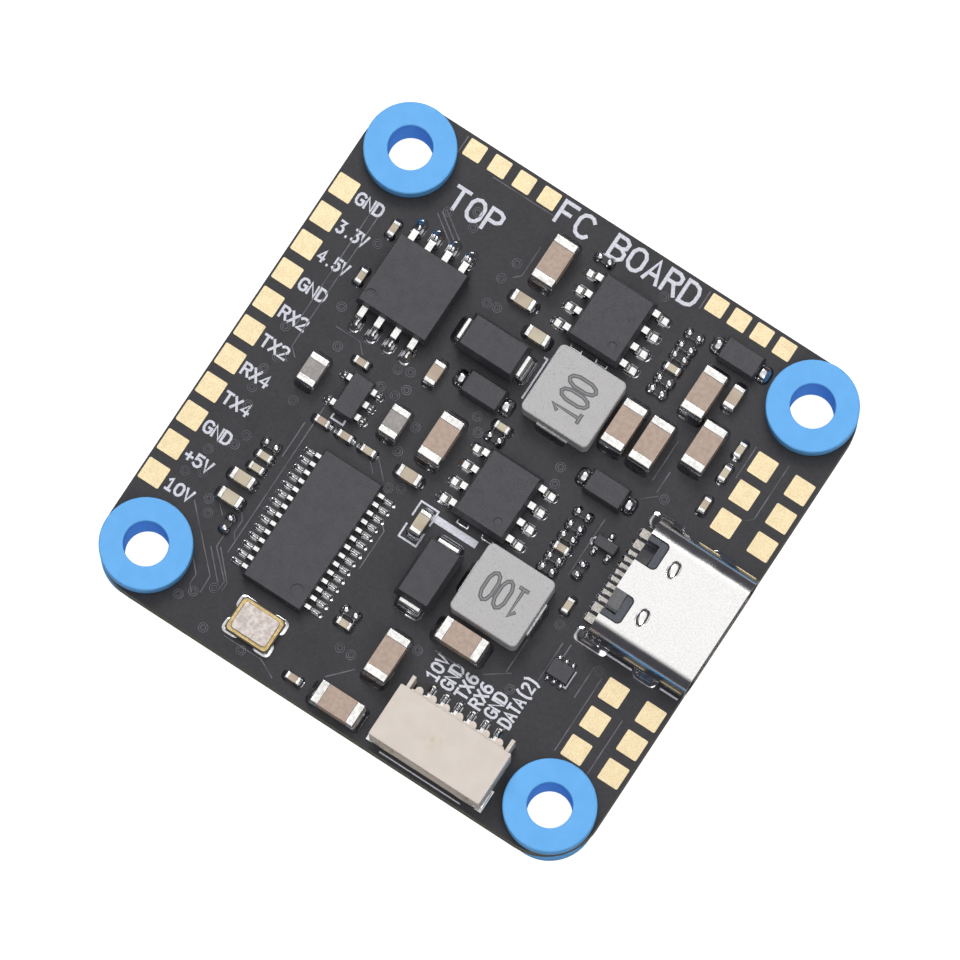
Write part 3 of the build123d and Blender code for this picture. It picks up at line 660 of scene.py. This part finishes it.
def add_tie_bars(pieces):
    """The cut ends of the lead frame that show at one end of each buck converter chip."""
    half_width, wire, rise = 0.4, 0.13, 0.06
    for chip in ("buck_chip_a_body", "buck_chip_b_body"):
        x0, x1, y0 = islands(chip)[0][0:3]
        near, far = y0 - 0.1, y0 - 0.3
        for x in (x0 * 0.74 + x1 * 0.26, x0 * 0.26 + x1 * 0.74):
            left, right = x - half_width, x + half_width
            bar = [(left, near), (left, far), (right, far), (right, near)]
            pieces.strip(bar, wire, topside, rise)


def around(x, y, half_x, half_y):
    """A plan box about a point."""
    return [x - half_x, x + half_x, y - half_y, y + half_y]


def add_socket_solder(pieces):
    """The oval joints of the USB shell's legs, and the wire connector's two anchors."""
    low, high = (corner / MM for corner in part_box("usb_shell"))
    leg_x = (low.x + 0.4, low.x + 4.5)
    for y, outside in ((low.y + 0.15, -0.06), (high.y - 0.15, 0.06)):
        for x, reach in zip(leg_x, (1.27, 0.9)):
            for lower, climb in ((False, 0.4), (True, 0.14)):
                leg = around(x, y, 0.45, 0.15)
                oval = around(x, y + outside, reach, 0.58)
                solder_joint(pieces, oval, leg, climb, lower, RIM)
    low, high = (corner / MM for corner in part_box("connector_hold_downs"))
    for x, inward in ((low.x, 1), (high.x, -1)):
        foot = sorted((x + inward * 0.12, x + inward * 0.5)) + [low.y + 0.25, low.y + 1.4]
        pad = sorted((x - inward * 0.08, x + inward * 0.6)) + [low.y + 0.1, low.y + 1.6]
        solder_joint(pieces, pad, foot, 0.22, False)


# ---------------------------------------------------------------- ink and relief lines

# Letters as strokes on a grid of this size. Curves are short lines.
GRID_WIDTH, GRID_HEIGHT = 4, 6
LETTER_SHARE = 0.72

LETTERS = {
    "0": [[(2, 6), (3.2, 5.6), (4, 4.4), (4, 1.6), (3.2, 0.4), (2, 0), (0.8, 0.4), (0, 1.6),
           (0, 4.4), (0.8, 5.6), (2, 6)]],
    "1": [[(0.6, 4.8), (2.1, 6), (2.1, 0)], [(0.5, 0), (3.7, 0)]],
    "2": [[(0.1, 5.1), (0.8, 5.8), (2, 6), (3.2, 5.8), (3.9, 5), (3.8, 3.8), (0, 0), (4.1, 0)]],
    "3": [[(0.2, 6), (3.8, 6), (1.9, 3.6), (3, 3.4), (3.9, 2.5), (3.9, 1.3), (3.1, 0.3),
           (1.6, 0), (0.1, 0.8)]],
    "4": [[(3.1, 0), (3.1, 6), (0, 1.8), (4.2, 1.8)]],
    "5": [[(3.8, 6), (0.5, 6), (0.3, 3.3), (1.6, 3.9), (3.1, 3.6), (4, 2.3), (3.9, 1.2),
           (2.9, 0.2), (1.4, 0), (0, 0.9)]],
    "6": [[(3.6, 5.8), (2.2, 6), (0.8, 5.1), (0, 3.3), (0, 1.6), (0.8, 0.3), (2, 0),
           (3.3, 0.3), (4, 1.6), (3.6, 3), (2.2, 3.7), (0.8, 3.2), (0.1, 2.2)]],
    "A": [[(0, 0), (2, 6), (4, 0)], [(0.7, 2), (3.3, 2)]],
    "B": [[(2.5, 3.2), (3.6, 3.8), (3.7, 5.2), (2.6, 6), (0, 6), (0, 0), (2.7, 0), (3.9, 0.9),
           (3.9, 2.3), (2.5, 3.2), (0, 3.2)]],
    "C": [[(4, 5), (3.2, 5.8), (2, 6), (0.7, 5.5), (0, 4.2), (0, 1.8), (0.7, 0.5), (2, 0),
           (3.2, 0.2), (4, 1)]],
    "D": [[(0, 0), (0, 6), (2, 6), (3.4, 5.4), (4, 4.1), (4, 1.9), (3.4, 0.6), (2, 0), (0, 0)]],
    "F": [[(4, 6), (0, 6), (0, 0)], [(0, 3.2), (3, 3.2)]],
    "G": [[(4, 5), (3.2, 5.8), (2, 6), (0.7, 5.5), (0, 4.2), (0, 1.8), (0.7, 0.5), (2, 0),
           (3.2, 0.2), (4, 0.9), (4, 2.8), (2.4, 2.8)]],
    "N": [[(0, 0), (0, 6), (4, 0), (4, 6)]],
    "P": [[(0, 0), (0, 6), (2.6, 6), (3.8, 5.3), (3.8, 3.7), (2.6, 2.9), (0, 2.9)]],
    "R": [[(0, 0), (0, 6), (2.6, 6), (3.8, 5.3), (3.8, 3.8), (2.6, 3.1), (0, 3.1)],
          [(2.2, 3.1), (4, 0)]],
    "T": [[(2, 0), (2, 6)], [(0, 6), (4, 6)]],
    "V": [[(0, 6), (2, 0), (4, 6)]],
    "X": [[(0, 0), (4, 6)], [(0, 6), (4, 0)]],
    "+": [[(0, 2.8), (4, 2.8)], [(2, 0.8), (2, 4.8)]],
    ".": [[(1.85, 0.1), (2.15, 0.1)]],
    "(": [[(3, 7), (1.9, 5.4), (1.7, 3), (1.9, 0.6), (3, -1)]],
    ")": [[(1, 7), (2.1, 5.4), (2.3, 3), (2.1, 0.6), (1, -1)]],
    " ": [],
}
LETTERS["O"] = LETTERS["0"]


def write(pieces, text, corner, height, pitch, stroke, base, turn=0, rise=INK_RISE, mirror=1):
    """Letter strokes from a lower left corner, turned by an angle in degrees."""
    size = height / GRID_HEIGHT
    width = pitch * LETTER_SHARE / GRID_WIDTH
    angle = math.radians(turn)
    for i, letter in enumerate(text):
        for lift, path in enumerate(LETTERS[letter]):
            placed = []
            for u, v in path:
                along, up = (i * pitch + u * width) * mirror, v * size
                x = corner[0] + along * math.cos(angle) - up * math.sin(angle)
                y = corner[1] + along * math.sin(angle) + up * math.cos(angle)
                placed.append((x, y))
            pieces.strip(placed, stroke, base, rise * (1 + 0.3 * lift))


def add_ink(material):
    """The white print on the component side."""
    pieces = Pieces()
    labels = ["GND", "3.3V", "4.5V", "GND", "RX2", "TX2", "RX4", "TX4", "GND", "+5V", "10V"]
    levels = sorted(((box[2] + box[3]) / 2 for box in islands("gold_pads_left")), reverse=True)
    for label, level in zip(labels, levels):
        pitch = 0.68 if len(label) == 3 else 0.56
        write(pieces, label, (-16.45, level - 0.42), 0.78, pitch, 0.175, topside)
    write(pieces, "TOP", (-11.45, 13.58), 1.5, 1.32, 0.25, topside)
    write(pieces, "FC BOARD", (-5.15, 16.52), 1.5, 1.34, 0.25, topside)
    pins = ["10V", "GND", "TX6", "RX6", "GND", "DATA(2)"]
    for i, pin in enumerate(pins):
        pitch = 0.6 if len(pin) == 3 else 0.53
        write(pieces, pin, (4.83 + i * 1.1, -12.45), 0.8, pitch, 0.17, topside, 90)
    marks = [
        [(-2.28, -4.3), (-2.28, -3.25), (-0.98, -3.25), (-0.98, -4.3)],
        [(-2.28, -4.95), (-2.28, -5.9), (-0.98, -5.9), (-0.98, -4.95)],
        [(-0.57, 5.8), (-0.57, 8.75), (-0.8, 8.75)],
        [(-10.03, -1.6), (-10.03, -1.9), (-9.15, -1.9), (-9.15, -1.6)],
        [(11.9, -7.1), (11.9, -8.3), (11.5, -8.3)],
        [(8.25, 0.85), (8.1, 0.7), (8.1, 0.5), (8.25, 0.35)],
        [(12.7, -5.05), (14.75, -5.05)],
        [(16.95, -5.05), (18.2, -5.05)],
        [(12.7, 4.05), (14.75, 4.05)],
        [(16.95, 4.05), (18.2, 4.05)],
    ]
    for path in marks:
        pieces.strip(path, 0.13, topside, INK_RISE)
    pieces.strip([(-0.75, -3.72), (2.05, -3.72)], 0.5, topside, INK_RISE)
    pieces.strip([(4.31, -18.14), (10.34, -18.14)], 0.09, topside, INK_RISE)
    pieces.make("white_print", material, smooth=False)


def add_marks(materials):
    """The value code lasered on each inductor: a dark line with a paler core."""
    for name, corner, turn in (
        ("inductor_a_core", (1.1, -1.45), 90),
        ("inductor_b_core", (1.35, 1.0), 180),
    ):
        low, high = (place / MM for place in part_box(name))
        middle = ((low.x + high.x) / 2, (low.y + high.y) / 2)
        start = (middle[0] + corner[0], middle[1] + corner[1])
        for kind, stroke, rise in (("mark", 0.27, 0.004), ("mark_core", 0.1, 0.008)):
            pieces = Pieces()
            write(pieces, "100", start, 1.95, 0.98, stroke, high.z, turn, rise)
            pieces.make(f"{name}_{kind}", materials[kind], smooth=False)


# Copper lines as paths, and the middles of the tented holes, that show in the photograph.
TRACES = [
    [(-15.2, 10.5), (-15.2, 1.7)],
    [(-14.65, 10.5), (-14.65, 0.6), (-14.1, 0.1)],
    [(-14.9, 0.1), (-14.4, -0.4)],
    [(-11.25, -3.1), (-11.25, -5.7)],
    [(-10.75, -1.6), (-10.75, -12.7)],
    [(-14.35, -11.1), (-10.85, -14.6), (-10.8, -15.8)],
    [(-12.35, -14.25), (-11.65, -15.0), (-11.65, -15.7), (-11.3, -16.1)],
    [(-11.55, -12.0), (-11.55, -12.8), (-9.9, -14.4), (-9.9, -15.0)],
    [(-11.3, -12.7), (-9.7, -14.4), (-9.7, -15.0)],
    [(-11.85, -13.0), (-10.2, -14.7)],
    [(-12.9, -10.4), (-12.35, -10.9)],
    [(-11.5, -10.0), (-11.1, -10.5), (-11.1, -11.4), (-10.85, -11.8)],
    [(-11.4, 13.1), (-9.7, 11.9)],
    [(-11.2, 13.35), (-9.5, 12.15)],
    [(-11.6, 12.85), (-9.9, 11.65)],
    [(-6.4, -2.9), (-5.8, -3.5)],
    [(-6.2, -2.3), (-5.0, -3.5)],
    [(13.6, 11.3), (13.6, 8.9)],
    [(16.0, 11.4), (16.0, 7.3), (15.6, 6.9)],
    [(10.2, -6.0), (10.2, -8.8)],
    [(10.7, -5.8), (10.7, -6.9)],
    [(12.7, -6.2), (12.7, -8.5)],
    [(13.5, -6.5), (13.5, -12.0)],
    [(16.05, -8.1), (16.05, -12.1)],
    [(9.25, 8.9), (9.25, 5.9)],
    [(9.9, 6.9), (9.9, 5.4)],
    [(8.1, 2.1), (8.1, -2.1)],
    [(8.2, -7.0), (8.2, -9.5)],
    [(-12.7, 18.1), (-12.7, 16.9)],
    [(5.7, 18.1), (5.7, 16.8)],
    [(-9.9, 16.75), (-5.4, 16.75)],
    [(0.1, -14.6), (-1.2, -16.0)],
    [(2.3, -14.5), (2.3, -13.4)],
    [(8.5, -9.4), (7.1, -10.4)],
    [(9.3, 4.5), (10.1, 5.2)],
    [(-4.7, -5.8), (-3.6, -5.8), (-3.2, -6.2), (-3.2, -9.0)],
    [(-4.9, 14.6), (-4.9, 12.4), (-5.3, 12.0)],
    [(-13.0, 3.2), (-11.2, 3.2), (-10.6, 2.6)],
    [(3.7, -10.8), (5.6, -10.8), (6.1, -11.3)],
    [(-8.0, -17.3), (-5.2, -17.3), (-4.0, -17.9)],
]

VIAS = [
    (-9.5, 14.3), (-9.2, 13.3), (-11.1, 13.3), (-5.9, 11.55), (-5.6, 12.9), (-5.8, 9.7),
    (-5.1, 9.8), (-13.7, 9.1), (-13.4, 4.45), (-12.2, 2.17), (-15.7, 1.45), (-7.4, 3.3),
    (-8.2, 3.0), (-7.0, 2.2), (-7.4, 1.5), (-8.5, 1.5), (-2.3, 3.25), (-1.7, 2.4),
    (-5.2, 0.5), (10.55, 5.25), (-15.05, -0.5), (-15.35, -1.6), (-15.3, -3.0),
    (-14.9, -4.1), (-12.65, -2.3), (-13.9, -5.8), (-14.2, -6.7), (-15.45, -7.85),
    (-5.3, -1.4), (-3.8, -3.3), (-4.5, -3.7), (3.9, 3.4), (4.2, 2.3), (13.1, -6.25),
    (9.4, -5.1), (-15.9, -9.8), (-14.9, -9.3), (-13.65, -10.5), (-13.2, -11.3),
    (-11.9, -16.65), (-9.4, -17.6), (-11.2, -16.0), (-10.2, -15.1), (-1.45, -13.95),
    (-0.6, -13.95), (-6.6, -17.5), (2.75, -11.4), (9.0, -10.3), (3.4, 16.2),
]


def add_via(pieces, x, y, radius, lower=False):
    """A tented hole: the thin raised rims of its copper ring and of the hole in it."""
    face, side = (underside, -1) if lower else (topside, 1)
    hole_share, sides, rim, rise = 0.55, 16, 0.05, 0.015
    for share in (1, hole_share):
        ring = []
        for i in range(sides + 1):
            angle = i / sides * math.tau
            reach = radius * share
            ring.append((x + reach * math.cos(angle), y + reach * math.sin(angle)))
        pieces.strip(ring, rim, face, side * rise)


def add_relief(material):
    """Copper lines and tented holes that show through the mask on the component side."""
    line_width, hole_radius = 0.09, 0.31
    pieces = Pieces()
    for path in TRACES:
        pieces.strip(path, line_width, topside, COPPER_RISE)
    for x, y in VIAS:
        add_via(pieces, x, y, hole_radius)
    pieces.make("copper_relief", material, smooth=False)


def add_lower_relief(material):
    """Fan-out lines and holes round the processor on the underside."""
    line_width, hole_radius, hole_chance = 0.12, 0.26, 0.45
    pieces = Pieces()
    body = islands("processor_body")[0]
    centre = ((body[0] + body[1]) / 2, (body[2] + body[3]) / 2)
    for lead in islands("processor_leads"):
        x, y = (lead[0] + lead[1]) / 2, (lead[2] + lead[3]) / 2
        axis = 0 if abs(x - centre[0]) > abs(y - centre[1]) else 1
        sign = 1 if (x, y)[axis] > centre[axis] else -1
        reach = random.uniform(0.7, 2.4)
        slant = random.choice((-0.5, 0, 0.5))
        step = (sign * reach, 0) if axis == 0 else (0, sign * reach)
        kick = (sign * 0.5, slant) if axis == 0 else (slant, sign * 0.5)
        start = (x + (0.5 * sign if axis == 0 else 0), y + (0.5 * sign if axis else 0))
        knee = (start[0] + step[0], start[1] + step[1])
        end = (knee[0] + kick[0], knee[1] + kick[1])
        pieces.strip([start, knee, end], line_width, underside, -COPPER_RISE)
        if random.random() < hole_chance:
            add_via(pieces, *end, hole_radius, lower=True)
    pieces.make("copper_relief_low", material, smooth=False)


def add_lower_ink(material):
    """The white print on the underside: the processor's corners, an arrow and a word."""
    pieces = Pieces()
    body = islands("processor_body")[0]
    margin = 1.35
    x0, x1, y0, y1 = body[0] - margin, body[1] + margin, body[2] - margin, body[3] + margin
    for x, y, dx, dy in ((x0, y0, 1, 1), (x1, y0, -1, 1), (x0, y1, 1, -1), (x1, y1, -1, -1)):
        pieces.strip([(x + dx, y), (x, y), (x, y + dy)], 0.14, underside, -INK_RISE)
    pieces.strip([(16.2, -1.5), (17.6, 0), (16.2, 1.5)], 0.3, underside, -INK_RISE)
    write(pieces, "BOOT", (-8.3, -11.9), 1.1, 0.95, 0.16, underside, 0, -INK_RISE, -1)
    pieces.make("white_print_low", material, smooth=False)


def press_dome():
    """Give the button's contact spring a mesh of its own."""
    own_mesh(nodes["button_dome"])


# ---------------------------------------------------------------- the scene

materials = make_materials()
paint(materials)
add_solder(materials["solder"])
add_ink(materials["ink"])
add_marks(materials)
add_relief(materials["copper_relief"])
add_lower_relief(materials["copper_relief"])
add_lower_ink(materials["ink"])
press_dome()

make_floor()
make_world(zenith=(1.15, 1.15, 1.15, 1), horizon=(0.07, 0.07, 0.08, 1))
softbox("key_light", (-0.35, 0.5, 0.7), 0.45, 3.9)
softbox("fill_light", (0.4, -0.2, 0.75), 0.5, 1.7)
make_camera()
bpy.context.scene.view_settings.view_transform = "Standard"
